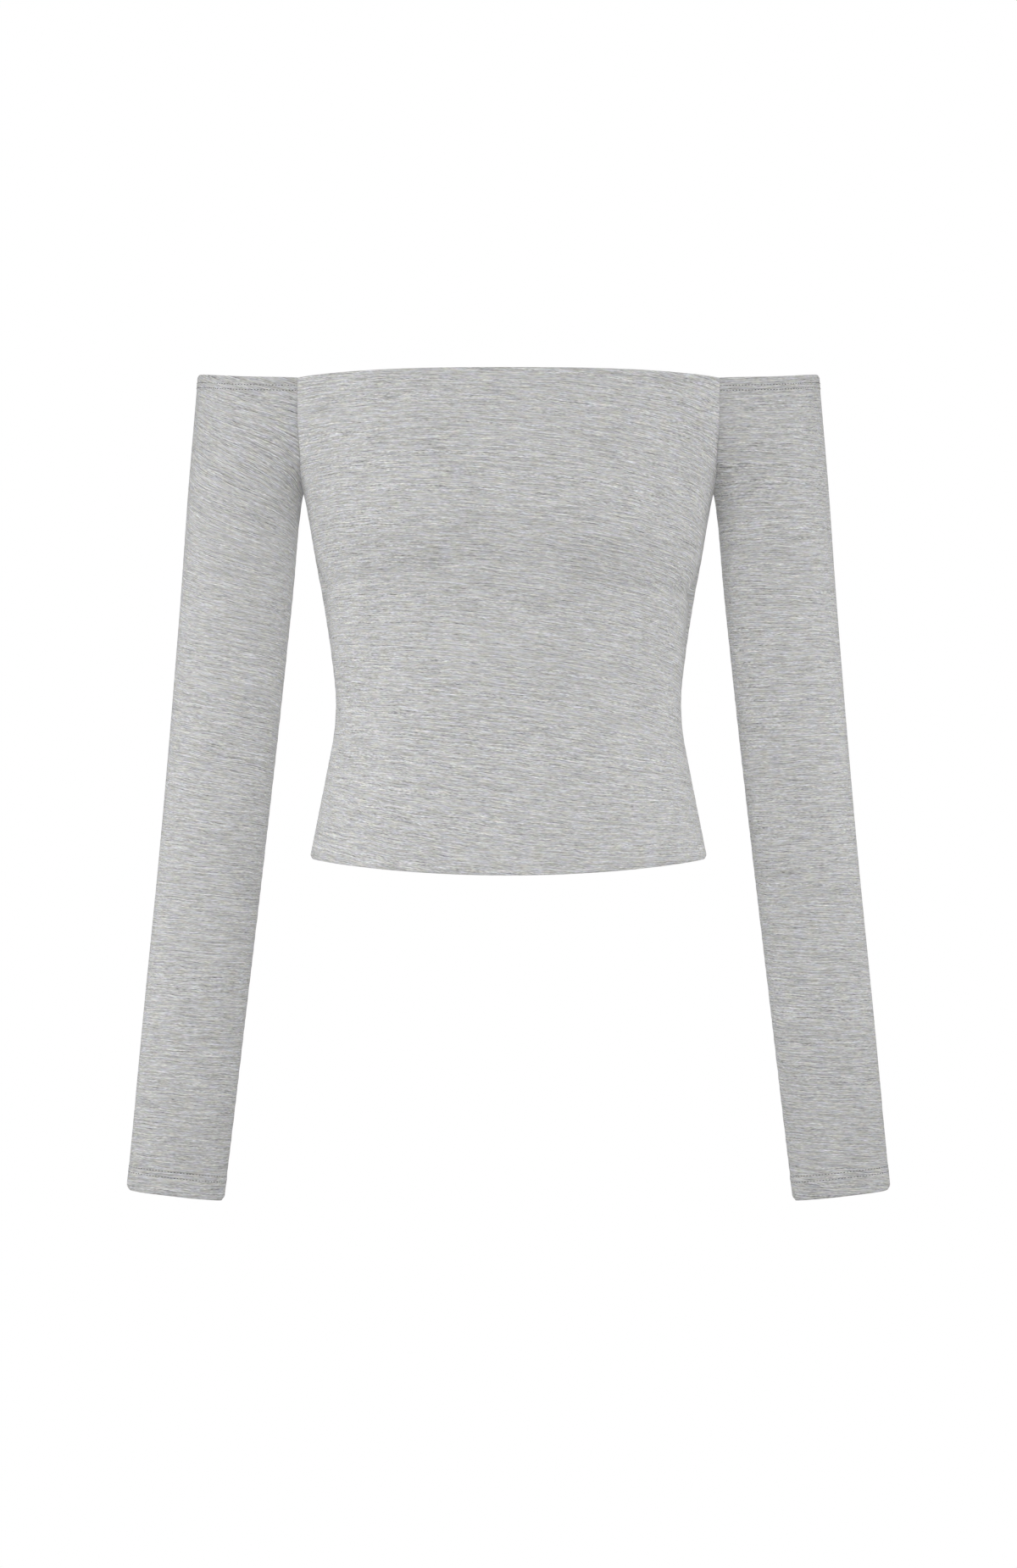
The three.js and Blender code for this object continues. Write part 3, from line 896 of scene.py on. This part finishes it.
def sleeve(name, hand, table, shift):
    """A sleeve and its stitches. Its material's noises start at the shift."""
    drops = row_drops("sleeve", SLEEVE_LENGTH, SLEEVE_WALL / 2)
    grid, across = sleeve_rows(hand, drops)
    ring = drops >= ARMHOLE_DROP
    normal = level_normals(grid, ring)
    drop = np.broadcast_to(drops[:, None], across.shape)
    roll, away, push = seam_roll("sleeve", grid, ring, normal, drops)
    calm = smooth(away / CALM_WIDE["sleeve"])
    swell = creases(across, drop, table) * calm + curl(drop, SLEEVE_LENGTH, normal, calm)
    swell += TOP_FLARE * np.clip(1 - drop / TOP_HEM["wide"], 0, 1) * calm * normal[..., 1] ** 2
    swell += hem_raise(drop, TOP_HEM)
    swell += hem_raise(SLEEVE_LENGTH - drop, CUFF_HEM)
    outer = grid + roll + normal * swell[:, :, None]
    slope = np.interp(drop, SLEEVE_GRAIN["drop"], SLEEVE_GRAIN["left" if hand < 0 else "right"])
    grain = drop + slope * across
    wall = sleeve_wall(drop)
    piece = shell(f"{name}_cloth", outer, outward_way(normal, push, away), wall, ring, across, grain)
    # The sleeve's jersey is darkened here by painted shade
    piece.data.materials.append(heather(f"jersey_{name}", shift, SLEEVE_PAINTED_SHADE))
    return piece, hem_stitches(f"{name}_stitches", hand, drops, outer, normal)


# The thread's material carries painted shade for the needle holes
painted_shade_thread_material = thread("thread")

front = body_panel("front", FRONT_CREASES, 0.0)
back = body_panel("back", BACK_CREASES, 7.0)
sleeve_left, stitches_left = sleeve("sleeve_left", -1, LEFT_CREASES, 13.0)
sleeve_right, stitches_right = sleeve("sleeve_right", 1, RIGHT_CREASES, 19.0)

replaced = [(front, "front"), (back, "back"), (sleeve_left, "sleeve_left"), (sleeve_right, "sleeve_right")]
for piece, node in replaced:
    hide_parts(node)
    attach(piece, "root")
for piece in (stitches_left, stitches_right):
    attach(piece, "root")

# The studio, in metres: a pale round floor, even light from all round and large soft lamps
ROOM_LIGHT = 0.32
FLOOR_DROP = 1.3
FLOOR_RADIUS = 1.9
FLOOR_SIDES = 96

floor_mesh = bpy.data.meshes.new("floor")
turns = np.linspace(0, 2 * math.pi, FLOOR_SIDES + 1)[:-1]
rim = [(FLOOR_RADIUS * math.cos(turn), FLOOR_RADIUS * math.sin(turn), -FLOOR_DROP) for turn in turns]
floor_mesh.from_pydata(rim, [], [list(range(FLOOR_SIDES))])
floor = bpy.data.objects.new("floor", floor_mesh)
floor_mesh.materials.append(pale_floor("studio_floor"))
bpy.context.scene.collection.objects.link(floor)

# The background is white to the camera, and gives the cloth only the room's light
scene = bpy.context.scene
scene.view_settings.view_transform = "Standard"
world = bpy.data.worlds.new("studio")
world.use_nodes = True
background = world.node_tree.nodes["Background"]
background.inputs["Color"].default_value = WHITE
rays = world.node_tree.nodes.new("ShaderNodeLightPath")
strength = world.node_tree.nodes.new("ShaderNodeMapRange")
strength.inputs["To Min"].default_value = ROOM_LIGHT
strength.inputs["To Max"].default_value = 1.0
world.node_tree.links.new(rays.outputs["Is Camera Ray"], strength.inputs["Value"])
world.node_tree.links.new(strength.outputs["Result"], background.inputs["Strength"])
scene.world = world


def lamp(name, place, target, size, watts, spread, shadow=True):
    """A large square soft lamp that faces a target. Its spread is in degrees."""
    data = bpy.data.lights.new(name, "AREA")
    data.use_shadow = shadow
    data.spread = math.radians(spread)
    data.shape = "SQUARE"
    data.size = size
    data.energy = watts
    item = bpy.data.objects.new(name, data)
    item.location = place
    way = [t - p for t, p in zip(target, place)]
    item.rotation_mode = "QUATERNION"
    item.rotation_quaternion = Vector(way).to_track_quat("-Z", "Y")
    scene.collection.objects.link(item)


# A high and a level lamp in front and behind, and three more in front
BUST = (0, 0, -0.2)
MIDDLE = (0, 0, -0.3)
for side in (-1, 1):
    lamp("lamp_high", (0, 1.5 * side, 1.4), BUST, size=0.9, watts=2.9, spread=90)
    lamp("lamp_front", (0, 1.9 * side, -0.45), MIDDLE, size=0.8, watts=1.72, spread=100)
lamp("high_right", (1.0, -0.9, 1.1), BUST, size=0.7, watts=0.3, spread=90)
lamp("quarter_left", (-1.1, -0.85, -0.3), MIDDLE, size=0.8, watts=1.32, spread=100)
lamp("quarter_right", (1.1, -0.85, -0.3), MIDDLE, size=0.8, watts=0.36, spread=100)

# The lamps at the sides stand a little in front of the middle, and cast no shadow
lamp("side_left", (-1.35, -0.36, -0.2), (0, 0, -0.22), size=0.5, watts=0.84, spread=70, shadow=False)
lamp("side_right", (1.35, -0.36, -0.2), (0, 0, -0.22), size=0.5, watts=0.98, spread=70, shadow=False)

# The camera is level and looks straight at the front. Its lens and sensor are in millimetres
CAMERA_PLACE = (0, -3.3, -0.2674)
CAMERA_LENS = 107.03
SENSOR = 36
camera_data = bpy.data.cameras.new("camera")
camera_data.lens = CAMERA_LENS
camera_data.sensor_width = SENSOR
camera = bpy.data.objects.new("camera", camera_data)
camera.location = CAMERA_PLACE
camera.rotation_euler = (math.radians(90), 0, 0)
scene.collection.objects.link(camera)
scene.camera = camera
